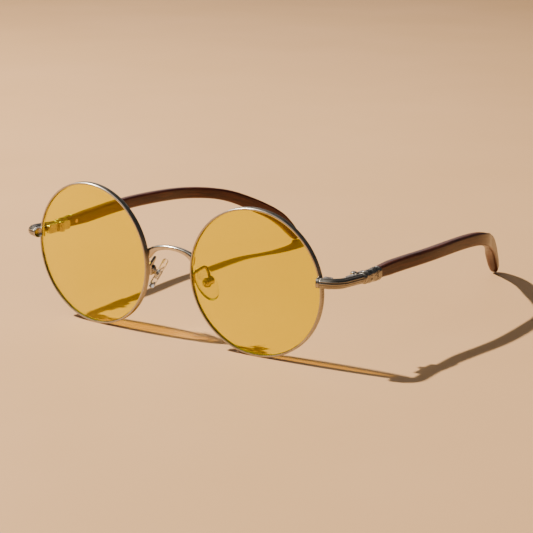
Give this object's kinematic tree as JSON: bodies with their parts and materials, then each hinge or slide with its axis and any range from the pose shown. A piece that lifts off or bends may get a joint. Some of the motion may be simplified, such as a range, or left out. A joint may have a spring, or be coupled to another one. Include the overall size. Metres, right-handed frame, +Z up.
{
  "type": "round wire eyeglasses",
  "caption": "Round wire eyeglasses: tinted lenses in thin split eyewires, saddle bridge, rocking nose pads, reeded end pieces, screwed hinges and folding wooden temples.",
  "frame": {"origin": "on the table, at the middle of the box of the open pair: centred left to right, and half way between the front and the temple tips", "axes": "+X to the wearer's left, +Y from the front back along the temples to the ears, +Z up"},
  "size_m": [0.1358, 0.1468, 0.0493],
  "materials": {
    "frame_metal": "satin antique silver",
    "engraved_metal": "cast scroll relief with darkened recesses",
    "screw_metal": "polished",
    "rivet_metal": "polished",
    "core_steel": "plain",
    "tinted_lens": "golden yellow tint, polished",
    "temple_wood": "oiled red-brown wood",
    "clear_pad": "clear soft silicone",
    "pad_insert": "plain"
  },
  "bodies": {
    "front": {"bridge": "frame_metal", "left_rim": "frame_metal", "left_lens": "tinted_lens", "left_upper_closing_block": "frame_metal", "left_lower_closing_block": "frame_metal", "left_closing_screw": "screw_metal", "left_end_piece": "frame_metal", "left_front_hinge_leaf": "frame_metal", "left_hinge_screw": "screw_metal", "left_pad_arm": "frame_metal", "left_pad_box": "frame_metal", "left_pad_screw": "screw_metal", "right_rim": "frame_metal", "right_lens": "tinted_lens", "right_upper_closing_block": "frame_metal", "right_lower_closing_block": "frame_metal", "right_closing_screw": "screw_metal", "right_end_piece": "frame_metal", "right_front_hinge_leaf": "frame_metal", "right_hinge_screw": "screw_metal", "right_pad_arm": "frame_metal", "right_pad_box": "frame_metal", "right_pad_screw": "screw_metal"},
    "left_temple": {"left_temple_hinge_leaf": "frame_metal", "left_temple_cap": "engraved_metal", "left_wood_temple": "temple_wood", "left_temple_core": "core_steel", "left_temple_rivet": "rivet_metal"},
    "right_temple": {"right_temple_hinge_leaf": "frame_metal", "right_temple_cap": "engraved_metal", "right_wood_temple": "temple_wood", "right_temple_core": "core_steel", "right_temple_rivet": "rivet_metal"},
    "left_pad": {"left_nose_pad": "clear_pad", "left_pad_lug": "pad_insert"},
    "right_pad": {"right_nose_pad": "clear_pad", "right_pad_lug": "pad_insert"}
  },
  "joints": [
    {"name": "left_temple_hinge", "type": "hinge", "parent": "front", "child": "left_temple", "pos_m": [0.06075, -0.05524, 0.02735], "axis": [0, 0, 1], "range_deg": [0, 88]},
    {"name": "right_temple_hinge", "type": "hinge", "parent": "front", "child": "right_temple", "pos_m": [-0.06075, -0.05524, 0.02735], "axis": [0, 0, -1], "range_deg": [0, 82]},
    {"name": "left_pad_rock", "type": "hinge", "parent": "front", "child": "left_pad", "pos_m": [0.01228, -0.0659, 0.02114], "axis": [0.3788, 0.8894, 0.2557], "range_deg": [-8, 8]},
    {"name": "right_pad_rock", "type": "hinge", "parent": "front", "child": "right_pad", "pos_m": [-0.01228, -0.0659, 0.02114], "axis": [-0.3788, 0.8894, 0.2557], "range_deg": [-8, 8]}
  ]
}
